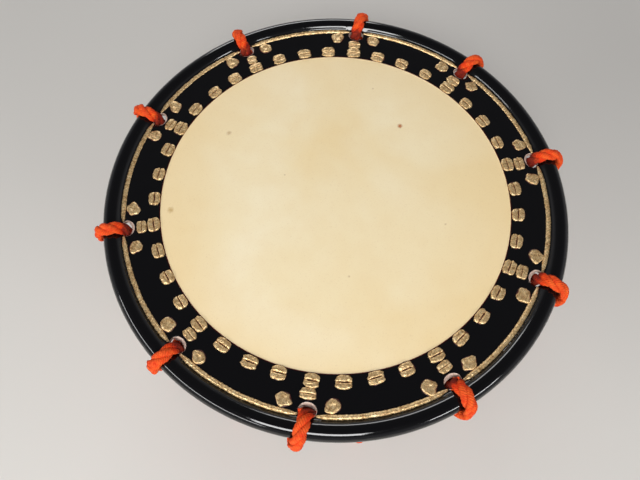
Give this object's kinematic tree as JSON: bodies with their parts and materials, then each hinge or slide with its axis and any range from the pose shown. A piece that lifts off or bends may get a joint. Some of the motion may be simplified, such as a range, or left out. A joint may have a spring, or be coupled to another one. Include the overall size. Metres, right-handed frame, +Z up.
{
  "type": "shime daiko drum",
  "caption": "Rope-tensioned drum: turned hollow body between stitched heads folded round iron rings, laced rim to rim and wound at the waist.",
  "frame": {"origin": "on the floor under the middle of the drum, in the plane of the rope's flats under the lower rim", "axes": "+Z up along the drum's axis towards the upper playing face, -Y towards the viewer of the picture"},
  "size_m": [0.3675, 0.3683, 0.1817],
  "materials": {
    "body_wood": "oiled zelkova, turned and polished",
    "hide": "raw cowhide playing face, border and rim in gloss black lacquer",
    "ring_iron": "dark forged rod",
    "rope": "soft laid hemp rope dyed vermilion",
    "gilding": "gold leaf over raised stitching"
  },
  "bodies": {
    "root": {"drum_body": "body_wood", "upper_hide": "hide", "lower_hide": "hide", "upper_iron_ring": "ring_iron", "lower_iron_ring": "ring_iron", "lacing_rope": "rope", "waist_rope": "rope", "upper_gilt_seam_01": "gilding", "upper_gilt_seam_02": "gilding", "upper_gilt_seam_03": "gilding", "upper_gilt_seam_04": "gilding", "upper_gilt_seam_05": "gilding", "upper_gilt_seam_06": "gilding", "upper_gilt_seam_07": "gilding", "upper_gilt_seam_08": "gilding", "upper_gilt_seam_09": "gilding", "upper_gilt_seam_10": "gilding", "lower_gilt_seam_01": "gilding", "lower_gilt_seam_02": "gilding", "lower_gilt_seam_03": "gilding", "lower_gilt_seam_04": "gilding", "lower_gilt_seam_05": "gilding", "lower_gilt_seam_06": "gilding", "lower_gilt_seam_07": "gilding", "lower_gilt_seam_08": "gilding", "lower_gilt_seam_09": "gilding", "lower_gilt_seam_10": "gilding"}
  },
  "joints": []
}
